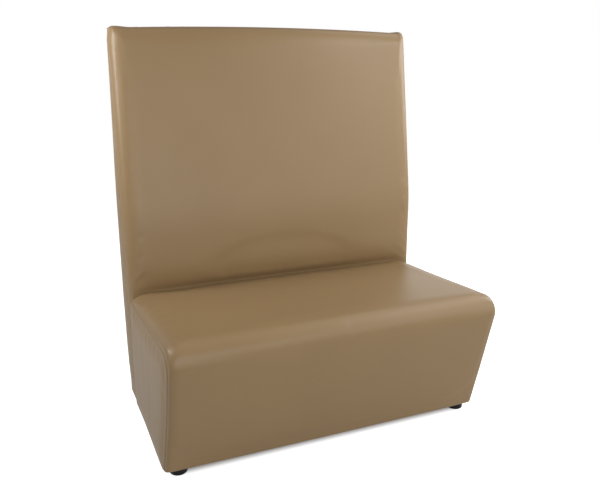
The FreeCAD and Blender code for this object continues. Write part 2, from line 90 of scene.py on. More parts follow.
# %% Sizes from the frame
half_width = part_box("back_rear_cover")[1].x
rear_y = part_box("back_rear_cover")[1].y
hem_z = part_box("back_rear_cover")[0].z
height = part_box("back_rear_cover")[1].z
seat_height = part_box("seat_cover")[1].z
joint_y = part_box("back_joint_rail")[0].y
rear_board_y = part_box("back_rear_board")[1].y
frame_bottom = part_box("seat_end_panel_left")[0].z
seat_frame_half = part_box("seat_end_panel_right")[1].x
back_frame_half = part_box("back_end_panel_right")[1].x
frame_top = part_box("back_end_panel_right")[1].z
print("half width %.4f, height %.4f, seat height %.4f" % (half_width, height, seat_height))

# %% Radii, crowns and angles of the upholstery
nose_radius = 0.051
front_lean = math.radians(15.0)
seat_slope = math.radians(2.0)
seat_top_crown = 0.007
seat_front_crown = 0.005
seat_side_swell = 0.005
side_shoulder = 0.0055
corner_sharpness = 2.2
side_round = 0.010
side_folds = 0.0007
seat_roll_width = 0.041
seat_top_roll = 0.028
seat_corner_roll = 0.015
seat_seam_angle = math.radians(88.0)
lumbar_thickness = 0.171
lumbar_height = 0.640
lumbar_radius = 0.900
top_thickness = 0.085
top_roll_radius = 0.045
back_front_crown = 0.012
back_top_crown = 0.009
back_edge_roll = 0.042
side_roll_share = 0.9
back_seam_angle = math.radians(86.0)
cover_thickness = 0.0015
front_foam = 0.015
seat_foam = 0.100
back_foam = 0.045
hem_radius = 0.006
hem_turn = 0.024
hem_raise = 0.0074
hem_slope = math.radians(35.0)
nose_shares = {-1: 0.05, 1: 0.35}
seat_rear_roll = 0.034
seat_rear_settle = 0.003
seat_rear_crown = 0.003
under_top = 0.575
under_bottom = 0.4515
under_edge = 0.022
under_crown = 0.018
under_power = 3.5
seam_radius = 0.0022
seam_depth = 0.004
tuck_radius = 0.005
touch_gap = 0.0006
stuffed_rise = 0.002

seam_behind = 0.01
under_touch = 0.0035
trim = 0.004
hair = 0.0004

lumbar_y = rear_y - lumbar_thickness
top_front_y = rear_y - top_thickness
top_edge_z = height - back_top_crown
nose_y = -rear_y + seat_front_crown + nose_radius
nose_z = seat_height - seat_top_crown - nose_radius
front_normal = (-math.cos(front_lean), -math.sin(front_lean))
top_normal = (math.sin(seat_slope), math.cos(seat_slope))

# %% [markdown]
# ## How the covers are drawn
# Every padded piece starts as a grid of points: rows run along the piece's side view, columns
# across the booth. A side view is a row of straight stretches and arcs, and the crowns and rolled
# edges draw it in or out from column to column. This is the way an upholsterer's pattern works,
# and it lets the rows follow each seam exactly, which a remeshed block can't do.

# %% Points along a side view
def line_meet(normal_a, reach_a, normal_b, reach_b):
    """Point where two lines of a side view meet, each given by its normal and its distance."""
    across = normal_a[0] * normal_b[1] - normal_a[1] * normal_b[0]
    y = (reach_a * normal_b[1] - normal_a[1] * reach_b) / across
    z = (normal_a[0] * reach_b - reach_a * normal_b[0]) / across
    return y, z


def seat_reach(normal, inset):
    return nose_radius - inset + normal[0] * nose_y + normal[1] * nose_z


def front_y(z, inset):
    return (seat_reach(front_normal, inset) - front_normal[1] * z) / front_normal[0]


def top_z(y, inset):
    return (seat_reach(top_normal, inset) - top_normal[0] * y) / top_normal[1]


def on_circle(centre, radius, angle):
    """Point on a circle, the angle from +Y towards +Z."""
    return centre[0] + radius * math.cos(angle), centre[1] + radius * math.sin(angle)


def between(start, end, share):
    return start[0] + (end[0] - start[0]) * share, start[1] + (end[1] - start[1]) * share


def arc(centre, radius, angle_from, angle_to, count):
    """Points on an arc. The first point is left out."""
    return [on_circle(centre, radius, a) for a in np.linspace(angle_from, angle_to, count + 1)[1:]]


def line(start, end, count):
    """Evenly spaced points from start to end. The first point is left out."""
    return [between(start, end, s) for s in np.linspace(0, 1, count + 1)[1:]]


# %% The front face of the back
def recline(inset):
    """Centre and radius of the lumbar arc, its end, and the lean of the line above it."""
    centre = (lumbar_y + lumbar_radius, lumbar_height)
    reach = (top_front_y - centre[0], top_edge_z - centre[1])
    distance = math.hypot(reach[0], reach[1])
    lean = math.atan2(reach[1], -reach[0]) - math.acos(lumbar_radius / distance)
    radius = lumbar_radius - inset
    return centre, radius, on_circle(centre, radius, math.pi - lean), lean


def back_inset(x):
    """How far the back's front is drawn in at x: out by the crown, in by the rolled edge."""
    inner = half_width - back_edge_roll
    if abs(x) <= inner:
        return -back_front_crown * (1 - (x / inner) ** 2)
    sine = min(1.0, (abs(x) - inner) / back_edge_roll)
    return back_edge_roll * (1 - math.sqrt(1 - sine * sine))


def edge_drop(x, width):
    """How far the seat's top drops at x over a rolled edge of the given width."""
    share = np.clip((abs(x) - half_width + width) / width, 0, math.sin(seat_seam_angle))
    return seat_top_roll * (1 - np.sqrt(1 - share ** 2))


def tucked_under(x, z):
    """How far the back's lower end curves back into the crease behind the seat."""
    bottom = under_bottom - edge_drop(x, seat_roll_width + seat_rear_roll)
    share = np.clip((under_top - z) / (under_top - bottom), 0, 1)
    crown = np.clip(1 - (x / (half_width - back_edge_roll)) ** 2, 0, 1)
    sine = np.clip((abs(x) - half_width + back_edge_roll) / back_edge_roll, 0, 1)
    rolled = back_edge_roll * (1 - np.sqrt(1 - sine * sine))
    return np.maximum(under_edge + under_crown * crown - rolled, 0) * share ** under_power


def back_front_y(x):
    """Front of the back at x, at the height of the seat."""
    touching = under_bottom + under_touch - edge_drop(x, seat_roll_width + seat_rear_roll)
    return lumbar_y + back_inset(x) + float(tucked_under(x, touching))


def seam_turn(radius):
    """Angle that the two lips of a seam take up on a roll."""
    return 2 * seam_radius / max(radius, 4 * seam_radius)


def top_seam(radius):
    """Angle of the seam on the back's top roll, just behind its highest line."""
    return math.pi / 2 + seam_turn(radius) + seam_behind


# %% Columns across the booth
def columns(inner, roll, seam_angle, count, roll_count):
    """(x, share of the edge roll, share of the crown) from the left seam to the right one."""
    angles = np.linspace(0, seam_angle, roll_count + 1)[1:]
    rolled = [(inner + roll * math.sin(a), 1 - math.cos(a), 0.0) for a in angles]
    middle = [(inner * s, 0.0, 1 - s * s) for s in np.linspace(-1, 1, count + 1)]
    return [(-x, r, c) for x, r, c in reversed(rolled)] + middle + rolled


seat_columns = columns(half_width - seat_roll_width, seat_roll_width, seat_seam_angle, 86, 14)
back_columns = columns(half_width - back_edge_roll, back_edge_roll, back_seam_angle, 86, 14)
print("columns:", len(seat_columns), "on the seat,", len(back_columns), "on the back")

# %% [markdown]
# ## Seams and closed bodies
# A seam is a narrow V between two panels, because each panel turns inwards over its thread. So a
# grid's edge gets a lip: a quarter turn of about 2 mm radius and a short run inwards. The grid is
# then closed with an inner skin that lies on the deck or the board behind it. The closed body is
# what the cloth simulation needs for its air pressure.

# %% Lips, inner skins and meshes
lip_rows = 4


def unit(vectors):
    lengths = np.linalg.norm(vectors, axis=-1, keepdims=True)
    return vectors / np.maximum(lengths, 1e-9)


def lip(edge, before, outward, radius, depth):
    """Rows of points that turn a grid's edge inwards: edge and before are its last two rows."""
    along = unit(edge - before)
    normal = unit(outward - (outward * along).sum(-1, keepdims=True) * along)
    rows = []
    for degrees in (30, 60, 90):
        angle = math.radians(degrees)
        rows.append(edge + along * radius * math.sin(angle) - normal * radius * (1 - math.cos(angle)))
    rows.append(rows[-1] - normal * depth)
    return np.array(rows)


def grid_normals(grid):
    """Normals of a grid of points, rows by columns."""
    down = np.gradient(grid, axis=0)
    across = np.gradient(grid, axis=1)
    return unit(np.cross(across, down))


def with_lips(grid, first_row=False, last_row=False, first_column=False, last_column=False,
              radius=seam_radius, depth=seam_depth):
    """The grid with lips on the edges that are seams. Normals point away from the foam."""
    for wanted, axis, step in ((first_row, 0, -1), (last_row, 0, 1),
                               (first_column, 1, -1), (last_column, 1, 1)):
        if wanted:
            turned = np.swapaxes(grid, 0, axis)[::step]
            normals = np.swapaxes(grid_normals(grid), 0, axis)[::step]
            rows = lip(turned[-1], turned[-2], normals[-1], radius, depth)
            grid = np.swapaxes(np.concatenate([turned, rows])[::step], 0, axis)
    return grid


def apart(grid):
    """The grid with its points drawn apart, since cloth skips a mesh that has an edge of no length."""
    grid = grid.copy()
    rows, cols = grid.shape[:2]
    grid[..., 0] += np.linspace(-hair, hair, cols)[None, :]
    grid[..., 2] += np.linspace(0, hair, rows)[:, None]
    return grid


def closed_body(name, outer, inner):
    """Closed mesh from an outer grid and an inner grid of the same size, joined at their edges."""
    rows, cols = outer.shape[:2]
    points = np.concatenate([outer.reshape(-1, 3), inner.reshape(-1, 3)])
    back = rows * cols
    faces = []
    for r in range(rows - 1):
        for c in range(cols - 1):
            a = r * cols + c
            quad = (a, a + 1, a + cols + 1, a + cols)
            faces.append(quad)
            faces.append(tuple(back + v for v in reversed(quad)))
    ring = list(range(cols)) + [r * cols + cols - 1 for r in range(1, rows)]
    ring += [(rows - 1) * cols + c for c in range(cols - 2, -1, -1)]
    ring += [r * cols for r in range(rows - 2, 0, -1)]
    for index, a in enumerate(ring):
        b = ring[(index + 1) % len(ring)]
        faces.append((a, back + a, back + b, b))
    mesh = bpy.data.meshes.new(name)
    mesh.from_pydata([tuple(p) for p in points], [], faces)
    piece = bpy.data.objects.new(name, mesh)
    scene.collection.objects.link(piece)
    shell = bmesh.new()
    shell.from_mesh(mesh)
    bmesh.ops.recalc_face_normals(shell, faces=shell.faces)
    shell.to_mesh(mesh)
    shell.free()
    mesh.polygons.foreach_set("use_smooth", [True] * len(mesh.polygons))
    return piece


# %% [markdown]
# ## Stuffing
# Foam under tight vinyl pushes every panel a few millimetres out between its seams, and a little
# slack gathers beside the thread. Blender's cloth does both: the seams are pinned, the air
# pressure acts on the closed body, and a slightly large cloth gives the slack. How far a point
# may move is capped smoothly, so a panel keeps the size that the CAD gave it.

# %% Cloth pressure with a cap
def plump(piece, free, cap, slack=0.0, pressure=4.0, frames=20):
    """Simulates the piece with its free points loose, and keeps each move under the cap."""
    mesh = piece.data
    rest = np.array([v.co for v in mesh.vertices])
    pins = piece.vertex_groups.new(name="pins")
    for index, loose in enumerate(free):
        if loose < 1:
            pins.add([index], 1 - float(loose), "REPLACE")
    cloth = piece.modifiers.new("stuffing", "CLOTH")
    cloth.settings.quality = 6
    cloth.settings.mass = 0.4
    cloth.settings.tension_stiffness = 25
    cloth.settings.compression_stiffness = 25
    cloth.settings.shear_stiffness = 10
    cloth.settings.bending_stiffness = 2.0
    cloth.settings.use_pressure = True
    cloth.settings.uniform_pressure_force = pressure
    cloth.settings.shrink_min = -slack
    cloth.settings.effector_weights.gravity = 0
    cloth.settings.vertex_group_mass = "pins"
    cloth.collision_settings.use_collision = False
    scene.frame_start = 1
    scene.frame_end = frames
    cloth.point_cache.frame_end = frames
    for step in range(1, frames + 1):
        scene.frame_set(step)
    depsgraph = bpy.context.evaluated_depsgraph_get()
    made = piece.evaluated_get(depsgraph)
    moved = np.array([v.co for v in made.data.vertices])
    piece.modifiers.remove(cloth)
    scene.frame_set(1)
    move = moved - rest
    lengths = np.linalg.norm(move, axis=1, keepdims=True)
    move *= cap * np.tanh(lengths / cap) / np.maximum(lengths, 1e-9)
    mesh.vertices.foreach_set("co", (rest + move).ravel())
    mesh.update()
    piece.vertex_groups.remove(pins)
    print(piece.name, "largest free move %.1f mm, kept %.1f mm" % (lengths.max() * 1000,
          np.linalg.norm(move, axis=1).max() * 1000))


def smooth_step(values, low, high):
    share = np.clip((values - low) / (high - low), 0, 1)
    return share * share * (3 - 2 * share)


def free_points(outer, row_ends, column_ends, reach):
    """How free each point is, from 0 at the pinned edges to 1 a reach away, and 0 on the inner skin."""
    free = np.ones(outer.shape[:2])
    for axis, (first, last) in enumerate((row_ends, column_ends)):
        steps = np.linalg.norm(np.diff(np.swapaxes(outer, 0, axis), axis=0), axis=2)
        travel = np.concatenate([np.zeros((1, steps.shape[1])), np.cumsum(steps, axis=0)])
        loose = smooth_step(travel - travel[first], 0, reach)
        loose = loose * smooth_step(travel[-1 - last] - travel, 0, reach)
        free *= np.swapaxes(loose, 0, axis)
    return np.concatenate([free.ravel(), np.zeros(free.size)])


def subdivided(piece):
    """One level of smooth subdivision, applied."""
    modifier = piece.modifiers.new("smooth", "SUBSURF")
    modifier.levels = 1
    modifier.render_levels = 1
    bpy.context.view_layer.objects.active = piece
    piece.select_set(True)
    bpy.ops.object.modifier_apply(modifier=modifier.name)
    piece.select_set(False)
    return piece


# %% [markdown]
# ## The seat's top, nose and front
# One panel of vinyl runs from the hem, up the leaning front, over the nose and back across the
# seat to the crease in front of the back, where it tucks down. Its foam lies on the front board
# and on the deck, so the inner skin follows those.

# %% Side view of the seat panel
hem_rows = 9
front_rows = 28
nose_rows = 12
seat_rows = 36
tuck_rows = 7
seat_middle = hem_rows + front_rows + nose_rows // 2


def seat_view(front_in, top_in, crease_y, side, offset=0.0):
    """Side view from the hem's turned end, up the front, over the nose and back to the crease."""
    hem_centre_z = hem_z + hem_raise + hem_radius
    hem_centre = (front_y(hem_centre_z, front_in + offset + hem_radius), hem_centre_z)
    up = math.pi + front_lean
    down = 1.5 * math.pi - hem_slope
    back = math.pi / 2 - seat_slope
    radius = nose_radius - nose_shares[side] * (front_in + top_in) - offset
    front_in, top_in = front_in + offset, top_in + offset
    nose = line_meet(front_normal, seat_reach(front_normal, front_in + radius),
                     top_normal, seat_reach(top_normal, top_in + radius))
    tuck = crease_y - tuck_radius
    tuck_centre = (tuck, top_z(tuck, top_in + tuck_radius))
    fold = on_circle(hem_centre, hem_radius, down)
    under = (fold[0] + (fold[1] - hem_z) / math.tan(hem_slope), hem_z)
    start = (hem_centre[0] + hem_turn, hem_z)
    rows = [start]
    rows += line(start, under, 2)
    rows += line(under, fold, 2)
    rows += arc(hem_centre, hem_radius, down, up, 4)
    rows += line(rows[-1], on_circle(nose, radius, up), front_rows)
    rows += arc(nose, radius, up, back, nose_rows)
    rows += line(rows[-1], on_circle(tuck_centre, tuck_radius, back), seat_rows)
    rows += arc(tuck_centre, tuck_radius, back, 0, tuck_rows - 2)
    rows += line(rows[-1], (crease_y, rows[-1][1] - 2 * tuck_radius), 2)
    return rows


def seat_skin_view(outer):
    """Side view of the inner skin: up the front board and back along the deck."""
    board_in = cover_thickness + front_foam
    deck_in = cover_thickness + seat_foam
    corner = line_meet(front_normal, seat_reach(front_normal, board_in),
                       top_normal, seat_reach(top_normal, deck_in))
    foot = (front_y(frame_bottom, board_in), frame_bottom)
    heel = (outer[-1][0] - touch_gap, top_z(outer[-1][0], deck_in))
    steps = [math.dist(a, b) for a, b in zip(outer, outer[1:])]
    travel = np.concatenate([[0], np.cumsum(steps)])
    turn = travel[seat_middle]
    points = []
    for distance in travel:
        if distance <= turn:
            points.append(between(foot, corner, distance / turn))
        else:
            points.append(between(corner, heel, (distance - turn) / (travel[-1] - turn)))
    return points


# %% How the seat's top settles and its sides lean
rear_part = (-0.25, 0.15)
lean_heights = (0.03, 0.20)
side_leans = {-1: (0.0065, 0.0), 1: (-0.0055, -0.0035)}


def settled(grid):
    """The seat's top with its edge roll widening towards the rear, where the foam gives most."""
    grid = grid.copy()
    x, y = grid[..., 0], grid[..., 1]
    top = smooth_step(np.arange(grid.shape[0])[:, None], seat_middle, seat_middle + 6)
    rear = smooth_step(y, *rear_part)
    crown = np.clip(1 - (x / (half_width - seat_roll_width)) ** 2, 0, 1)
    sunk = edge_drop(x, seat_roll_width + seat_rear_roll * rear) - edge_drop(x, seat_roll_width)
    inner = 1 - smooth_step(abs(x), half_width - 0.12, half_width - 0.04)
    grid[..., 2] -= top * (sunk + (seat_rear_settle * inner + seat_rear_crown * crown) * rear ** 2)
    return grid


def leaned(grid):
    """The seat's sides as stuffed: the left one stands out at the front hem, the right one is drawn in."""
    grid = grid.copy()
    x, y, z = grid[..., 0], grid[..., 1], grid[..., 2]
    for side, reaches in side_leans.items():
        near = smooth_step(side * x, half_width - 0.12, half_width - 0.02)
        if side < 0:
            near = near * (1 - smooth_step(y, *rear_part))
        grid[..., 0] += side * near * np.interp(z, lean_heights, reaches)
    return grid


# %% Build the seat panel
seat_views = []
for x, rolled, crown in seat_columns:
    front_in = seat_corner_roll * rolled ** corner_sharpness - (seat_front_crown - stuffed_rise) * crown
    top_in = seat_top_roll * rolled - (seat_top_crown - stuffed_rise) * crown
    view = seat_view(front_in, top_in, back_front_y(x) - touch_gap, -1 if x < 0 else 1)
    seat_views.append([(x, y, z) for y, z in view])
seat_grid = np.array(seat_views).transpose(1, 0, 2)
seat_grid = with_lips(seat_grid, first_column=True, last_column=True)
seat_skins = []
for column in range(seat_grid.shape[1]):
    view = [(p[1], p[2]) for p in seat_grid[:, column]]
    x = seat_grid[0, column, 0] * seat_frame_half / half_width
    seat_skins.append([(x, y, z) for y, z in seat_skin_view(view)])
seat_inner = apart(np.array(seat_skins).transpose(1, 0, 2))
seat_grid = leaned(settled(seat_grid))
seat = closed_body("seat_upholstery", seat_grid, seat_inner)
print("seat grid:", seat_grid.shape[:2])

# %% Stuff the seat
seat_free = free_points(seat_grid, (hem_rows, tuck_rows), (lip_rows, lip_rows), 0.05)
plump(seat, seat_free, cap=stuffed_rise, slack=0.004)
subdivided(seat)
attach(seat, "frame")
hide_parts("seat_cover", "seat_foam", "seat_front_foam")
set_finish(seat, "vinyl")


# %% [markdown]
# ## The seat's side panels
# A side panel fills the seat's side view. Its four edges are the hem, the front with half of the
# nose, the top with the other half, and the rear edge against the back. A grid between four such
# edges is a Coons patch. The panel starts at the seam on the rolled edge, rounds over to the side
# and then swells by a few millimetres.

# %% A grid between four edges
def spread(count, length, rims):
    """Shares from 0 to 1 with narrow steps at both ends, where a panel rounds over."""
    start = [rim / length for rim in rims]
    return np.array([0.0] + start + list(np.linspace(start[-1], 1 - start[-1], count)[1:-1])
                    + [1 - s for s in reversed(start)] + [1.0])


def along(points, shares):
    """Points at the given shares of the length of a line through points."""
    points = np.array(points, float)
    steps = np.linalg.norm(np.diff(points, axis=0), axis=1)
    travel = np.concatenate([[0], np.cumsum(steps)])
    travel /= travel[-1]
    return np.stack([np.interp(shares, travel, points[:, k]) for k in range(points.shape[1])], axis=1)


def patch(bottom, top, front, rear, across, up):
    """Coons patch: rows from bottom to top, columns from front to rear."""
    low = along(bottom, across)
    high = along(top, across)
    fore = along(front, up)
    aft = along(rear, up)
    u = across[None, :, None]
    v = up[:, None, None]
    ruled = (1 - v) * low[None] + v * high[None] + (1 - u) * fore[:, None] + u * aft[:, None]
    corners = ((1 - u) * (1 - v) * low[0] + u * (1 - v) * low[-1]
               + (1 - u) * v * high[0] + u * v * high[-1])
    return ruled - corners


def edge_distance(grid, outline):
    """Distance of each point of a side view grid from the outline."""
    outline = np.array(outline)
    dense = along(outline, np.linspace(0, 1, 900))
    flat = grid.reshape(-1, 2)
    gaps = np.linalg.norm(flat[:, None, :] - dense[None, :, :], axis=2)
    return gaps.min(axis=1).reshape(grid.shape[:2])


# %% A side panel from its outer grid
def eased(gap, reach, drop):
    """Drop of a rounded rim: all of it at the outline and none of it a reach away."""
    share = 1 - np.clip(gap / reach, 0, 1)
    return drop * (1 - np.sqrt(1 - share ** 2))


def side_panel(name, side, outer, frame_half, reach, cap, slack):
    """Stuffed side panel with lips at its front, top and rear, and its inner skin on the frame."""
    if side < 0:
        outer = outer[:, ::-1]
    outer = with_lips(outer, last_row=True, first_column=True, last_column=True)
    inner = outer.copy()
    inner[..., 0] = side * (frame_half + touch_gap)
    piece = closed_body(name, outer, inner)
    plump(piece, free_points(outer, (2, lip_rows), (lip_rows, lip_rows), reach), cap=cap, slack=slack)
    return subdivided(piece)


# %% Build a seat side panel
side_rims = (0.0015, 0.004, 0.0075, 0.012, 0.018)
back_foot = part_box("back_cover")[0].z


def seat_side(side):
    """Side view grid of a side panel, with each point's distance from its seam, rear edge and hem."""
    rolled = 1 - math.cos(seat_seam_angle)
    front_in = seat_corner_roll * rolled ** corner_sharpness
    top_in = seat_top_roll * rolled
    crease = back_front_y(half_width - cover_thickness) - touch_gap
    view = seat_view(front_in, top_in, crease, side, seam_radius)
    front = view[2:seat_middle + 1]
    top = view[seat_middle:-5]
    heel = (joint_y - touch_gap, hem_z)
    hip = (joint_y - touch_gap, back_foot)
    rear = [heel] + line(heel, hip, 10) + arc_between(hip, top[-1], 8)
    bottom = [front[0]] + line(front[0], heel, 10)
    across = spread(34, 0.5, side_rims)
    up = spread(30, 0.4, side_rims)
    grid = patch(bottom, top, front, rear, across, up)
    seam_gap = edge_distance(grid, front + top[1:])
    return grid, seam_gap, edge_distance(grid, rear), edge_distance(grid, bottom)


def arc_between(start, end, count):
    """A quarter of an ellipse that leaves start upwards and reaches end level."""
    points = []
    for angle in np.linspace(0, math.pi / 2, count + 1)[1:]:
        y = end[0] + (start[0] - end[0]) * math.cos(angle)
        z = start[1] + (end[1] - start[1]) * math.sin(angle)
        points.append((y, z))
    return points


def side_body(side, name):
    grid, seam_gap, rear_gap, hem_gap = seat_side(side)
    rounded = half_width - seam_radius + side_shoulder
    rounded = rounded - eased(seam_gap, side_round, side_shoulder)
    rounded = rounded - eased(rear_gap, 0.004, 0.0045) - eased(hem_gap, 0.005, 0.003)
    gap = np.minimum(np.minimum(seam_gap, rear_gap), hem_gap)
    low, high = grid.min(axis=(0, 1)), grid.max(axis=(0, 1))
    middle, reach = (high + low) / 2, (high - low) / 2
    away = ((grid - middle) ** 2).sum(-1) / (reach ** 2).sum()
    swell = seat_side_swell * np.clip(1 - away, 0, 1) * smooth_step(gap, 0, 0.05)
    folds = np.array([[noise.noise(Vector((y * 24, z * 5, side * 3))) for y, z in row] for row in grid])
    swell += side_folds * folds * smooth_step(gap, 0.006, 0.05)
    outer = leaned(np.concatenate([side * (rounded + swell)[..., None], grid], axis=2))
    return side_panel(name, side, outer, seat_frame_half, reach=0.04, cap=0.004, slack=0.012)


for side, word in ((-1, "left"), (1, "right")):
    panel = side_body(side, "seat_side_panel_" + word)
    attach(panel, "frame")
    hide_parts("seat_side_cover_" + word, "seat_side_pad_" + word)
    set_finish(panel, "vinyl")

# %% [markdown]
# ## The back's front
# The front of the back rises from behind the seat, swells over the lumbar arc and leans back to
# the rolled top. It ends just behind the top line, where the top panel is sewn on, and reaches
# round both side edges. Its lower end curves back into the crease behind the seat.

# %% Side views of the back
back_low = max(back_foot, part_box("back_foam")[0].z)
roll_rows = 10


def back_view(front_in, top_in, roll_radius):
    """Side view of the back's front from its foot behind the seat to the top seam."""
    centre, radius, end, lean = recline(front_in)
    normal = (-math.cos(lean), math.sin(lean))
    reach = normal[0] * end[0] + normal[1] * end[1]
    top = top_edge_z - top_in
    roll = line_meet(normal, reach - roll_radius, (0, 1), top - roll_radius)
    low = (centre[0] - radius, back_low)
    rows = [low]
    rows += line(low, (low[0], lumbar_height), 34)
    rows += arc(centre, radius, math.pi, math.pi - lean, roll_rows)
    rows += line(rows[-1], on_circle(roll, roll_radius, math.pi - lean), 42)
    rows += arc(roll, roll_radius, math.pi - lean, top_seam(roll_radius), roll_rows)
    return rows, roll


def back_insets(rolled, crown, rise=0.0):
    """Front inset, top inset and top roll radius of a column of the back."""
    front_in = back_edge_roll * rolled - (back_front_crown - rise) * crown
    return front_in, -back_top_crown * crown, top_roll_radius - back_edge_roll * side_roll_share * rolled


# %% How the sides of the back bow
bow_heights = (0.0, 0.07, 0.14, 0.22, 0.40, 0.60, 0.74, 0.88, 0.95, 1.02, 1.15, 1.25, 1.33)
bow_reaches = {
    -1: (-0.0010, -0.0010, 0.0020, 0.0035, 0.0046, 0.0044, 0.0042, 0.0028, 0.0012, 0.0002, -0.0014,
         -0.0022, -0.0030),
    1: (-0.0030, -0.0020, 0.0010, 0.0020, 0.0020, 0.0010, 0.0016, 0.0018, 0.0020, 0.0022, 0.0018,
        0.0018, 0.0016),
}
ear_heights = {-1: 0.0042, 1: 0.0036}
ear_widths = {-1: 0.075, 1: 0.036}
corner_drop = 0.0055
corner_draw = 0.0035


def bowed(grid):
    """The grid with its sides standing out as the stuffed edges do, and the top corners raised."""
    grid = grid.copy()
    x, z = grid[..., 0], grid[..., 2]
    for side in (-1, 1):
        near = smooth_step(side * x, half_width - 0.10, half_width - 0.005)
        reach = np.interp(z, bow_heights, bow_reaches[side])
        lift = smooth_step(side * x, half_width - ear_widths[side], half_width - 0.024)
        high = smooth_step(z, top_edge_z - 0.05, top_edge_z - 0.008)
        corner = smooth_step(side * x, half_width - 0.014, half_width + 0.001)
        grid[..., 0] += side * (reach * near - corner_draw * corner * high ** 3)
        grid[..., 2] += (ear_heights[side] * lift - corner_drop * corner) * high
    return grid


# %% Build the back's front
back_views = []
back_skins = []
board, _ = back_view(cover_thickness + back_foam, top_roll_radius / 2, top_roll_radius / 3)
for x, rolled, crown in back_columns:
    view, _ = back_view(*back_insets(rolled, crown, stuffed_rise))
    back_views.append([(x, y, z) for y, z in view])
    back_skins.append([(x * back_frame_half / half_width, y, z) for y, z in board])
back_grid = bowed(np.array(back_views).transpose(1, 0, 2))
back_grid[..., 1] += tucked_under(back_grid[..., 0], back_grid[..., 2])
back_grid = with_lips(back_grid, last_row=True, first_column=True, last_column=True)
back_inner = np.array(back_skins).transpose(1, 0, 2)
back_inner = apart(np.pad(back_inner, ((0, lip_rows), (lip_rows, lip_rows), (0, 0)), mode="edge"))
back = closed_body("back_upholstery", back_grid, back_inner)
print("back grid:", back_grid.shape[:2])

# %% Stuff the back
back_free = free_points(back_grid, (0, lip_rows), (lip_rows, lip_rows), 0.06)
plump(back, back_free, cap=stuffed_rise, slack=0.003)
subdivided(back)
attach(back, "frame")
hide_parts("back_cover", "back_foam")
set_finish(back, "vinyl")

# %% [markdown]
# ## The top panel and the boxing
# The top panel closes the back from the top seam to the rear edge. The boxing is the long side
# panel between the rolled edge and the rear panel.

# %% Build the top panel
top_views = []
for x, rolled, crown in back_columns:
    front_in, top_in, radius = back_insets(rolled, crown)
    _, roll = back_view(front_in, top_in, radius)
    start = on_circle(roll, radius, top_seam(radius) - seam_turn(radius))
    view = [start] + line(start, (rear_y - trim, top_edge_z - top_in), 11)
    top_views.append([(x, y, z) for y, z in view])
top_grid = with_lips(bowed(np.array(top_views).transpose(1, 0, 2)), first_row=True, last_row=True,
                     first_column=True, last_column=True)
top_inner = top_grid.copy()
top_inner[..., 2] = frame_top + touch_gap
top_inner[..., 0] *= back_frame_half / half_width
top_panel = closed_body("back_top_panel", top_grid, top_inner)
top_free = free_points(top_grid, (lip_rows, lip_rows), (lip_rows, lip_rows), 0.02)
plump(top_panel, top_free, cap=0.002, slack=0.01)
subdivided(top_panel)
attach(top_panel, "frame")
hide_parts("back_boxing_top", "back_top_pad")
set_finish(top_panel, "vinyl")


# %% Build the boxing
boxing_rims = side_rims[:3]
boxing_round = 0.001


def boxing_body(side, name):
    radius = top_roll_radius - back_edge_roll * side_roll_share
    view, roll = back_view(back_edge_roll + seam_radius, 0.0, radius)
    front_heel = (joint_y + touch_gap, hem_z)
    front = [front_heel] + line(front_heel, (joint_y + touch_gap, back_low - 0.01), 10) + view
    rear_heel, rear_top = (rear_y - trim, hem_z), (rear_y - trim, top_edge_z - seam_radius)
    top = [view[-1]] + arc(roll, radius, top_seam(radius), math.pi / 2, 3)
    top = [(y, min(z, rear_top[1])) for y, z in top]
    top += line(top[-1], rear_top, 4)
    rear = [rear_heel] + line(rear_heel, rear_top, 10)
    bottom = [front_heel] + line(front_heel, rear_heel, 4)
    across = spread(10, 0.1, boxing_rims)
    up = spread(100, 1.2, boxing_rims)
    grid = patch(bottom, top, front, rear, across, up)
    outline = bottom + rear[1:] + top[::-1][1:] + front[::-1][1:]
    gap = edge_distance(grid, outline)
    rounded = half_width - eased(gap, 0.004, boxing_round)
    swell = boxing_round * smooth_step(gap, 0, 0.04)
    outer = bowed(np.concatenate([side * (rounded + swell)[..., None], grid], axis=2))
    return side_panel(name, side, outer, back_frame_half, reach=0.03, cap=0.003, slack=0.008)


for side, word in ((-1, "left"), (1, "right")):
    panel = boxing_body(side, "back_side_panel_" + word)
    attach(panel, "frame")
    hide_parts("back_boxing_" + word, "back_side_pad_" + word)
    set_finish(panel, "vinyl")

# %% Build the rear panel
rear_views = []
for x in np.linspace(-half_width + trim, half_width - trim, 60):
    crown = max(0.0, 1 - (x / (half_width - back_edge_roll)) ** 2)
    top = top_edge_z + back_top_crown * crown - trim
    rear_views.append([(x, rear_y, z) for z in np.linspace(top, hem_z + trim, 70)])
rear_grid = bowed(np.array(rear_views).transpose(1, 0, 2))[:, ::-1]
rear_grid = with_lips(rear_grid, first_row=True, last_row=True, first_column=True, last_column=True,
                      depth=0.002)
rear_inner = rear_grid.copy()
rear_inner[..., 1] = rear_board_y + 0.0001
rear_panel = closed_body("back_rear_panel", rear_grid, rear_inner)
subdivided(rear_panel)
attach(rear_panel, "frame")
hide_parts("back_rear_cover")
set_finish(rear_panel, "vinyl")


# %% [markdown]
# ## Cloths
# Two black dust cloths close the undersides, and a felt sheet lies between the springs and the
# foam. Each is one thin layer, stapled or laid flat, so a grid of points with a little sag and a
# Solidify modifier is enough. The margins of the dust cloths lie flat on the rails.

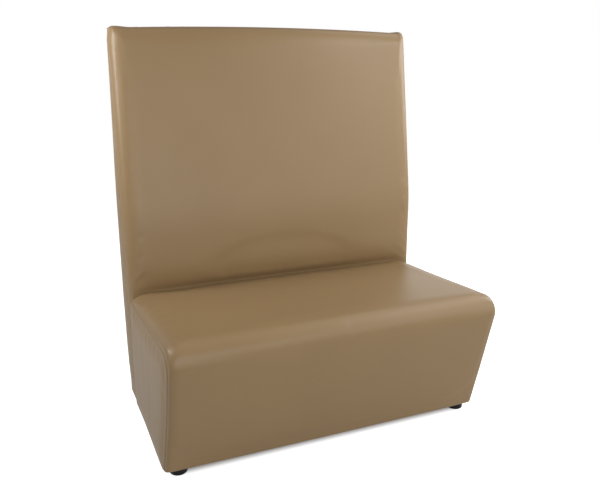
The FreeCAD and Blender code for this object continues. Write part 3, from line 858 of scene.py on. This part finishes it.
# %% Stretched sheets
def stretched_sheet(name, columns_at, rows_at, height_at, thickness):
    """Thin sheet over a grid of x and y places, at the heights that height_at gives."""
    points = [(x, y, height_at(x, y)) for y in rows_at for x in columns_at]
    wide = len(columns_at)
    faces = []
    for r in range(len(rows_at) - 1):
        for c in range(wide - 1):
            a = r * wide + c
            faces.append((a, a + 1, a + wide + 1, a + wide))
    mesh = bpy.data.meshes.new(name)
    mesh.from_pydata(points, [], faces)
    sheet = bpy.data.objects.new(name, mesh)
    scene.collection.objects.link(sheet)
    mesh.polygons.foreach_set("use_smooth", [True] * len(mesh.polygons))
    solid = sheet.modifiers.new("cloth", "SOLIDIFY")
    solid.thickness = thickness
    solid.offset = 0
    bpy.context.view_layer.objects.active = sheet
    sheet.select_set(True)
    bpy.ops.object.modifier_apply(modifier=solid.name)
    sheet.select_set(False)
    return sheet


def dust_cloth(node, sag):
    """Dust cloth in place of a node, flat along its margins and sagging between them."""
    low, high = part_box(node)
    margin = 0.012
    columns_at = np.linspace(low.x, high.x, 81)
    rows_at = np.linspace(low.y, high.y, 33)

    def height_at(x, y):
        across = min(1.0, max(0.0, min(x - low.x, high.x - x) - margin) / 0.12)
        deep = min(1.0, max(0.0, min(y - low.y, high.y - y) - margin) / 0.05)
        hang = sag * math.sin(across * math.pi / 2) * math.sin(deep * math.pi / 2)
        ripple = 0.0003 * noise.noise(Vector((x * 14, y * 14, 0))) * across * deep
        return high.z - 0.0006 - hang + ripple

    sheet = stretched_sheet(node + "_cloth", columns_at, rows_at, height_at, 0.0006)
    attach(sheet, "frame")
    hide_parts(node)
    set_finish(sheet, "dust_cloth")
    print(sheet.name, "%.3f by %.3f m" % (high.x - low.x, high.y - low.y))


dust_cloth("seat_dust_cover", 0.0022)
dust_cloth("back_dust_cover", 0.0006)

# %% The felt over the springs
felt_low, felt_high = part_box("spring_insulator")
felt_inset = cover_thickness + seat_foam + 0.0005
felt = stretched_sheet("spring_felt", np.linspace(felt_low.x, felt_high.x, 61),
                       np.linspace(felt_low.y + 0.002, felt_high.y, 41),
                       lambda x, y: top_z(y, felt_inset), 0.0008)
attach(felt, "frame")
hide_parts("spring_insulator")
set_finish(felt, "insulator")

# %% [markdown]
# ## Foot pads
# The bench stands on moulded pads with a rounded lower edge, each turning on a threaded stem. A
# cylinder gives the pad. Its top gets a recessed ring and the socket by inset and extrude, and the
# edges are bevelled: wide below, where the pad has to slide over a floor, and narrow above.

# %% Selecting in edit mode
def select_where(piece, part, wanted):
    """Selects the faces or edges for which wanted is true, in edit mode."""
    bpy.context.tool_settings.mesh_select_mode = (False, part == "edges", part == "faces")
    bpy.ops.mesh.select_all(action="DESELECT")
    shape = bmesh.from_edit_mesh(piece.data)
    for item in getattr(shape, part):
        item.select_set(wanted(item))
    bmesh.update_edit_mesh(piece.data)


# %% Model the foot pads
ring_width = 0.005
ring_depth = 0.0012
boss_radius = 0.0095
boss_rise = 0.0010
socket_radius = 0.00415
socket_depth = 0.0126
pad_names = []


def inset_and_lift(width, lift):
    bpy.ops.mesh.inset(thickness=width)
    bpy.ops.mesh.extrude_region_move(TRANSFORM_OT_translate={"value": (0, 0, lift)})


def foot_pad(node):
    low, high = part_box(node)
    radius = (high.x - low.x) / 2
    depth = high.z - low.z
    centre = ((low.x + high.x) / 2, (low.y + high.y) / 2, (low.z + high.z) / 2)
    bpy.ops.mesh.primitive_cylinder_add(vertices=64, radius=radius, depth=depth, location=centre)
    pad = bpy.context.object
    pad.name = node.replace("_base", "_glide")
    bpy.ops.object.mode_set(mode="EDIT")
    select_where(pad, "faces", lambda face: face.normal.z > 0.9)
    inset_and_lift(ring_width, -ring_depth)
    inset_and_lift(radius - ring_width - boss_radius, boss_rise)
    inset_and_lift(boss_radius - socket_radius, -socket_depth)
    select_where(pad, "edges", lambda edge: all(v.co.z < -depth / 2 + 1e-5 for v in edge.verts))
    bpy.ops.mesh.bevel(offset=0.0065, segments=6, profile=0.5, affect="EDGES")
    select_where(pad, "edges", lambda edge: all(
        v.co.z > depth / 2 - 1e-5 and math.hypot(v.co.x, v.co.y) > radius - 1e-4 for v in edge.verts))
    bpy.ops.mesh.bevel(offset=0.0012, segments=3, profile=0.5, affect="EDGES")
    bpy.ops.object.mode_set(mode="OBJECT")
    bpy.ops.object.shade_smooth_by_angle(angle=math.radians(35))
    bpy.ops.object.transform_apply(location=True, rotation=True, scale=True)
    pad.select_set(False)
    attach(pad, node.replace("_base", "_pad"))
    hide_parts(node)
    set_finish(pad, "foot_plastic")
    pad_names.append(pad.name)


for corner in ("front_left", "front_right", "rear_left", "rear_right"):
    foot_pad("foot_%s_base" % corner)
print("foot pads:", pad_names)

# %% [markdown]
# ## Finishes
# Each surface gets one material with its own colour, roughness and relief. The patterns that
# several materials share are node groups: a pebbled vinyl grain, a wood figure, crossing fibres,
# and soft scuffs. They put out heights and masks, and each material decides what to do with them.

# %% Node helpers
def new_group(name, inputs, outputs):
    """Empty node group with float or vector inputs and the given outputs."""
    tree = bpy.data.node_groups.new(name, "ShaderNodeTree")
    for label, kind, value in inputs:
        socket = tree.interface.new_socket(name=label, in_out="INPUT", socket_type=kind)
        if value is not None:
            socket.default_value = value
    for label, kind in outputs:
        tree.interface.new_socket(name=label, in_out="OUTPUT", socket_type=kind)
    return tree, tree.nodes.new("NodeGroupInput"), tree.nodes.new("NodeGroupOutput")


def set_inputs(node, values):
    for label, value in values.items():
        node.inputs[label].default_value = value


def add_noise(tree, vector, scale, detail=3.0, roughness=0.5):
    node = tree.nodes.new("ShaderNodeTexNoise")
    set_inputs(node, {"Scale": scale, "Detail": detail, "Roughness": roughness})
    tree.links.new(vector, node.inputs["Vector"])
    return node.outputs["Fac"]


def add_math(tree, operation, first, second=0.0):
    node = tree.nodes.new("ShaderNodeMath")
    node.operation = operation
    for socket, value in zip(node.inputs, (first, second)):
        if isinstance(value, (int, float)):
            socket.default_value = value
        else:
            tree.links.new(value, socket)
    return node.outputs["Value"]


def add_range(tree, value, low, high, out_low, out_high):
    node = tree.nodes.new("ShaderNodeMapRange")
    set_inputs(node, {"From Min": low, "From Max": high, "To Min": out_low, "To Max": out_high})
    tree.links.new(value, node.inputs["Value"])
    return node.outputs["Result"]


# %% Group: vinyl grain
grain_group, start, end = new_group("vinyl_grain", [("Vector", "NodeSocketVector", None)],
                                    [("Height", "NodeSocketFloat"), ("Tone", "NodeSocketFloat")])
cells = grain_group.nodes.new("ShaderNodeTexVoronoi")
cells.feature = "SMOOTH_F1"
set_inputs(cells, {"Scale": 900, "Smoothness": 0.6})
grain_group.links.new(start.outputs["Vector"], cells.inputs["Vector"])
pebble = add_math(grain_group, "MULTIPLY", cells.outputs["Distance"], -0.6)
soft = add_noise(grain_group, start.outputs["Vector"], 260, 2.0)
grain_group.links.new(add_math(grain_group, "ADD", pebble, soft), end.inputs["Height"])
broad = add_noise(grain_group, start.outputs["Vector"], 5.5, 2.0, 0.4)
grain_group.links.new(broad, end.inputs["Tone"])

# %% Group: wood figure
wood_group, start, end = new_group("wood_figure", [("Vector", "NodeSocketVector", None)],
                                   [("Figure", "NodeSocketFloat"), ("Pores", "NodeSocketFloat")])
bands = wood_group.nodes.new("ShaderNodeTexWave")
bands.wave_type = "RINGS"
bands.rings_direction = "X"
set_inputs(bands, {"Scale": 1.6, "Distortion": 5.0, "Detail": 2.0, "Detail Scale": 1.2})
wood_group.links.new(start.outputs["Vector"], bands.inputs["Vector"])
cloud = add_noise(wood_group, start.outputs["Vector"], 3.0, 3.0)
figure = add_math(wood_group, "MULTIPLY", bands.outputs["Fac"], cloud)
wood_group.links.new(figure, end.inputs["Figure"])
wood_group.links.new(add_noise(wood_group, start.outputs["Vector"], 60.0, 4.0, 0.65), end.inputs["Pores"])

# %% Group: crossing fibres
fibre_group, start, end = new_group("fibres", [("Vector", "NodeSocketVector", None),
                                               ("Fineness", "NodeSocketFloat", 900.0)],
                                    [("Fibres", "NodeSocketFloat")])
strands = []
for squeeze in ((1.0, 0.12, 1.0), (0.12, 1.0, 0.3)):
    turn = fibre_group.nodes.new("ShaderNodeMapping")
    set_inputs(turn, {"Scale": squeeze, "Rotation": (0, 0, 0.5)})
    fibre_group.links.new(start.outputs["Vector"], turn.inputs["Vector"])
    strand = fibre_group.nodes.new("ShaderNodeTexNoise")
    strand.inputs["Detail"].default_value = 3.0
    fibre_group.links.new(turn.outputs["Vector"], strand.inputs["Vector"])
    fibre_group.links.new(start.outputs["Fineness"], strand.inputs["Scale"])
    strands.append(strand.outputs["Fac"])
fibre_group.links.new(add_math(fibre_group, "MAXIMUM", *strands), end.inputs["Fibres"])

# %% Group: scuffs
scuff_group, start, end = new_group("scuffs", [("Vector", "NodeSocketVector", None)],
                                    [("Mask", "NodeSocketFloat")])
patches = add_noise(scuff_group, start.outputs["Vector"], 24, 4.0, 0.6)
marks = add_noise(scuff_group, start.outputs["Vector"], 160, 2.0, 0.5)
rubbed = add_math(scuff_group, "MULTIPLY", patches, marks)
scuff_group.links.new(add_range(scuff_group, rubbed, 0.22, 0.42, 0.0, 1.0), end.inputs["Mask"])
print("node groups:", [g.name for g in bpy.data.node_groups])


# %% Starting a material
def new_material(name, roughness, metallic=0.0, stretch=(1, 1, 1)):
    """Material with a shader and stretched Object coordinates."""
    material = bpy.data.materials.new(name)
    material.use_nodes = True
    tree = material.node_tree
    shader = tree.nodes["Principled BSDF"]
    set_inputs(shader, {"Roughness": roughness, "Metallic": metallic})
    where = tree.nodes.new("ShaderNodeTexCoord")
    turn = tree.nodes.new("ShaderNodeMapping")
    turn.inputs["Scale"].default_value = stretch
    tree.links.new(where.outputs["Object"], turn.inputs["Vector"])
    return material, tree, shader, turn.outputs["Vector"]


def place_group(tree, group, vector):
    node = tree.nodes.new("ShaderNodeGroup")
    node.node_tree = group
    tree.links.new(vector, node.inputs["Vector"])
    return node


def tint(tree, factor, first, second):
    """Colour between first and second by the factor."""
    node = tree.nodes.new("ShaderNodeMix")
    node.data_type = "RGBA"
    set_inputs(node, {"A": (*first, 1), "B": (*second, 1)})
    tree.links.new(factor, node.inputs["Factor"])
    return node.outputs["Result"]


def relief(tree, shader, height, distance, strength):
    node = tree.nodes.new("ShaderNodeBump")
    set_inputs(node, {"Distance": distance, "Strength": strength})
    tree.links.new(height, node.inputs["Height"])
    tree.links.new(node.outputs["Normal"], shader.inputs["Normal"])


# %% Taupe vinyl
vinyl_dark = (0.230, 0.151, 0.073)
vinyl_light = (0.250, 0.165, 0.081)
vinyl_roughness = 0.42
swing = 0.02
taupe_vinyl, tree, shader, where = new_material("taupe_vinyl", vinyl_roughness)
shader.inputs["Specular IOR Level"].default_value = 0.30
grain = place_group(tree, grain_group, where)
tree.links.new(tint(tree, grain.outputs["Tone"], vinyl_dark, vinyl_light), shader.inputs["Base Color"])
sheen = add_range(tree, grain.outputs["Height"], 0.0, 0.6,
                  vinyl_roughness + swing, vinyl_roughness - swing)
tree.links.new(sheen, shader.inputs["Roughness"])
relief(tree, shader, grain.outputs["Height"], 0.00018, 0.25)


# %% Woods
def wood(name, light, dark, stretch, roughness):
    material, tree, shader, where = new_material(name, roughness, stretch=stretch)
    figure = place_group(tree, wood_group, where)
    pores = add_math(tree, "MULTIPLY", figure.outputs["Pores"], 0.35)
    shade = add_math(tree, "ADD", figure.outputs["Figure"], pores)
    tree.links.new(tint(tree, shade, light, dark), shader.inputs["Base Color"])
    tree.links.new(add_range(tree, figure.outputs["Pores"], 0.3, 0.7, roughness - 0.08, roughness + 0.08),
                   shader.inputs["Roughness"])
    relief(tree, shader, figure.outputs["Pores"], 0.0004, 0.3)
    return material, tree, shader


pine_colours = (0.62, 0.43, 0.23), (0.42, 0.25, 0.11)
birch_colours = (0.58, 0.41, 0.24), (0.44, 0.28, 0.14)
pine, _, _ = wood("pine_rail", *pine_colours, (1.5, 22, 22), 0.62)
pine_post, _, _ = wood("pine_post", *pine_colours, (22, 22, 1.5), 0.62)
birch_board, _, _ = wood("birch_board", *birch_colours, (2.0, 14, 9), 0.58)
birch_panel, tree, shader = wood("birch_panel", *birch_colours, (14, 9, 2.0), 0.58)

# %% Veneer layers on the cut edges of the panels
veneer_pair = 0.0028
face_colour = shader.inputs["Base Color"].links[0].from_socket
here = tree.nodes.new("ShaderNodeNewGeometry")
split = tree.nodes.new("ShaderNodeSeparateXYZ")
tree.links.new(here.outputs["Normal"], split.inputs["Vector"])
edge_mask = add_range(tree, add_math(tree, "ABSOLUTE", split.outputs["X"]), 0.4, 0.6, 1.0, 0.0)
layers = tree.nodes.new("ShaderNodeTexWave")
layers.bands_direction = "X"
set_inputs(layers, {"Scale": 2 * math.pi / 20 / veneer_pair, "Distortion": 0.4})
where = tree.nodes.new("ShaderNodeTexCoord")
tree.links.new(where.outputs["Object"], layers.inputs["Vector"])
layer_colour = tint(tree, layers.outputs["Fac"], (0.30, 0.17, 0.08), (0.60, 0.43, 0.25))
mixer = tree.nodes.new("ShaderNodeMix")
mixer.data_type = "RGBA"
tree.links.new(edge_mask, mixer.inputs["Factor"])
tree.links.new(face_colour, mixer.inputs["A"])
tree.links.new(layer_colour, mixer.inputs["B"])
tree.links.new(mixer.outputs["Result"], shader.inputs["Base Color"])


# %% Hardboard, felt and dust cloth
def fibrous(name, light, dark, fineness, roughness, depth):
    material, tree, shader, where = new_material(name, roughness)
    fibres = place_group(tree, fibre_group, where)
    fibres.inputs["Fineness"].default_value = fineness
    spread_out = add_range(tree, fibres.outputs["Fibres"], 0.45, 0.75, 0.0, 1.0)
    tree.links.new(tint(tree, spread_out, dark, light), shader.inputs["Base Color"])
    relief(tree, shader, fibres.outputs["Fibres"], depth, 0.5)
    return material, shader


hardboard, _ = fibrous("hardboard", (0.21, 0.12, 0.06), (0.12, 0.065, 0.032), 700, 0.72, 0.0002)
felt_grey, felt_shader = fibrous("cotton_felt", (0.60, 0.58, 0.53), (0.38, 0.37, 0.34), 420, 0.95, 0.0006)
black_cloth, cloth_shader = fibrous("black_dust_cloth", (0.030, 0.030, 0.032), (0.008, 0.008, 0.009),
                                    1300, 0.88, 0.0002)
felt_shader.inputs["Sheen Weight"].default_value = 0.25
cloth_shader.inputs["Sheen Weight"].default_value = 0.15


# %% Metals and plastic
def metal(name, bright, dull, roughness, metallic, thread_pitch=0.0):
    material, tree, shader, where = new_material(name, roughness, metallic)
    scuffs = place_group(tree, scuff_group, where)
    tree.links.new(tint(tree, scuffs.outputs["Mask"], bright, dull), shader.inputs["Base Color"])
    tree.links.new(add_range(tree, scuffs.outputs["Mask"], 0, 1, roughness - 0.06, roughness + 0.14),
                   shader.inputs["Roughness"])
    if thread_pitch:
        turns = tree.nodes.new("ShaderNodeTexWave")
        turns.bands_direction = "Z"
        turns.inputs["Scale"].default_value = 2 * math.pi / 20 / thread_pitch
        tree.links.new(where, turns.inputs["Vector"])
        relief(tree, shader, turns.outputs["Fac"], 0.0006, 0.8)
    else:
        relief(tree, shader, scuffs.outputs["Mask"], 0.00005, 0.3)
    return material


spring_steel = metal("spring_steel", (0.16, 0.16, 0.17), (0.09, 0.075, 0.065), 0.42, 1.0)
zinc = metal("zinc_plate", (0.62, 0.63, 0.62), (0.45, 0.46, 0.45), 0.34, 1.0)
zinc_thread = metal("zinc_thread", (0.62, 0.63, 0.62), (0.40, 0.41, 0.41), 0.34, 1.0, 0.00125)
foot_black = metal("foot_plastic", (0.006, 0.006, 0.007), (0.012, 0.012, 0.013), 0.44, 0.0)
foot_black.node_tree.nodes["Principled BSDF"].inputs["Specular IOR Level"].default_value = 0.2

# %% Put the finishes on
finish_of_slot = {"vinyl": taupe_vinyl, "plywood": birch_panel, "timber": pine, "hardboard": hardboard,
                  "spring_steel": spring_steel, "zinc_steel": zinc, "foot_plastic": foot_black,
                  "dust_cloth": black_cloth, "insulator": felt_grey}
finish_of_node = {"seat_front_board": birch_board, "back_board": birch_board, "back_post": pine_post}
for foot in ("front_left", "front_right", "rear_left", "rear_right"):
    finish_of_node["foot_%s_stem" % foot] = zinc_thread
slots = {part["node"]: part["material_slot"] for part in frame["record"]["subparts"]}
finished = 0
for piece in list(scene.objects):
    if piece.type != "MESH":
        continue
    slot = slots.get(piece.get("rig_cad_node", piece.name), piece.get("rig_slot"))
    material = finish_of_node.get(piece.name, finish_of_slot.get(slot))
    if material is None:
        continue
    piece.data.materials.clear()
    piece.data.materials.append(material)
    finished += 1
print("pieces finished:", finished)


# %% [markdown]
# ## Floor, light and camera
# The floor and the world are white for the camera and dimmer in mirrored light, and they give the
# bench no light of their own. Under the bench the floor's glow is dimmed into a painted shadow. Large
# soft lamps light it, and a few smaller ones near it bring out the rolled edges.

# %% What a look straight at the background shows
mirror_share = 0.4


def looked_at(tree):
    """1 for camera rays, and a share of it for mirrored and refracted ones."""
    path = tree.nodes.new("ShaderNodeLightPath")
    mirrored = add_math(tree, "MAXIMUM", path.outputs["Is Glossy Ray"], path.outputs["Is Transmission Ray"])
    dimmed = add_math(tree, "MULTIPLY", mirrored, mirror_share)
    return add_math(tree, "MAXIMUM", path.outputs["Is Camera Ray"], dimmed)


# %% Floor, white but for a painted shadow under the bench
floor_half = 8.0
floor_white = 1.02
# Painted shadow under the bench: the glow left inside the footprint, and how far inside its edge the shade
# starts and is full.
painted_shadow_glow = 0.06
shadow_from = 0.008
shadow_full = 0.060
bpy.ops.mesh.primitive_plane_add(size=2 * floor_half, location=(0, 0, 0))
floor = bpy.context.object
floor.name = "studio_floor"
floor_material, tree, shader, _ = new_material("studio_floor", 0.9)
set_inputs(shader, {"Base Color": (0.5, 0.5, 0.5, 1), "Specular IOR Level": 0.0,
                    "Emission Color": (1, 1, 1, 1)})
where = tree.nodes.new("ShaderNodeNewGeometry")
place = tree.nodes.new("ShaderNodeSeparateXYZ")
tree.links.new(where.outputs["Position"], place.inputs["Vector"])
beside = add_math(tree, "SUBTRACT", half_width, add_math(tree, "ABSOLUTE", place.outputs["X"]))
before = add_math(tree, "SUBTRACT", place.outputs["Y"], front_y(hem_z + hem_raise, 0.0))
behind = add_math(tree, "SUBTRACT", rear_y, place.outputs["Y"])
under = add_math(tree, "MINIMUM", beside, add_math(tree, "MINIMUM", before, behind))
# Painted shadow: the floor's glow falls from white to dim inside the bench's footprint. It lies on top of
# the real shadow that the lamps cast on the floor's grey.
white = add_range(tree, under, shadow_from, shadow_full, floor_white, painted_shadow_glow)
white.node.interpolation_type = "SMOOTHSTEP"
tree.links.new(add_math(tree, "MULTIPLY", white, looked_at(tree)), shader.inputs["Emission Strength"])
floor.data.materials.append(floor_material)

# %% World
world = bpy.data.worlds.new("studio")
scene.world = world
world.use_nodes = True
sky = world.node_tree.nodes["Background"]
sky.inputs["Color"].default_value = (1, 1, 1, 1)
world.node_tree.links.new(looked_at(world.node_tree), sky.inputs["Strength"])


# %% Lamps
def softbox(name, place, aim, size, power):
    """Square area lamp at a place, turned to its aim and unseen by the camera."""
    lamp = bpy.data.lights.new("softbox_" + name, "AREA")
    lamp.shape = "SQUARE"
    lamp.size = size
    lamp.energy = power
    holder = bpy.data.objects.new("softbox_" + name, lamp)
    scene.collection.objects.link(holder)
    holder.location = place
    holder.rotation_euler = (Vector(aim) - Vector(place)).to_track_quat("-Z", "Y").to_euler()
    holder.visible_camera = False


far_aim = Vector((0, -0.05, 0.65))
far_reach = 3.5
far_size = 1.6
far_lamps = {
    "low_left": (-15, 8, 45.9), "high_right": (45, 30, 23.5), "low_right": (45, 8, 23.2),
    "over_right": (105, 52, 22.0), "low_front": (15, 8, 19.4), "rear_right": (135, 8, 10.3),
    "rear_left": (-165, 8, 3.0), "overhead": (0, 90, 5.0),
}
for name, (azimuth, elevation, power) in far_lamps.items():
    turn, rise = math.radians(azimuth), math.radians(elevation)
    way = Vector((math.sin(turn) * math.cos(rise), -math.cos(turn) * math.cos(rise), math.sin(rise)))
    softbox(name, far_aim + far_reach * way, far_aim, far_size, power)
near_lamps = {
    "left_edge": ((-1.7, 0.3, 1.5), (-0.5, 0.2, 1.1), 0.6, 21.0),
    "left_front": ((-1.7, -0.3, 1.9), (-0.5, 0.2, 1.1), 0.6, 6.0),
    "right_edge": ((2.2, 0.0, 1.5), (0.4, 0.1, 1.0), 1.0, 24.0),
    "upper_right": ((1.2, -0.8, 2.0), (0.1, 0.1, 1.0), 0.6, 9.0),
}
for name, (place, aim, size, power) in near_lamps.items():
    softbox(name, place, aim, size, power)
print("softboxes:", len(far_lamps) + len(near_lamps))

# %% Camera
camera_data = bpy.data.cameras.new("camera")
camera_data.sensor_width = 36
camera_data.lens = 40.43
camera = bpy.data.objects.new("camera", camera_data)
scene.collection.objects.link(camera)
camera.rotation_mode = "XYZ"
camera.location = (-0.893, -2.015, 1.188)
camera.rotation_euler = (math.radians(90 - 15.0), math.radians(0.12), math.radians(-23.63))
scene.camera = camera
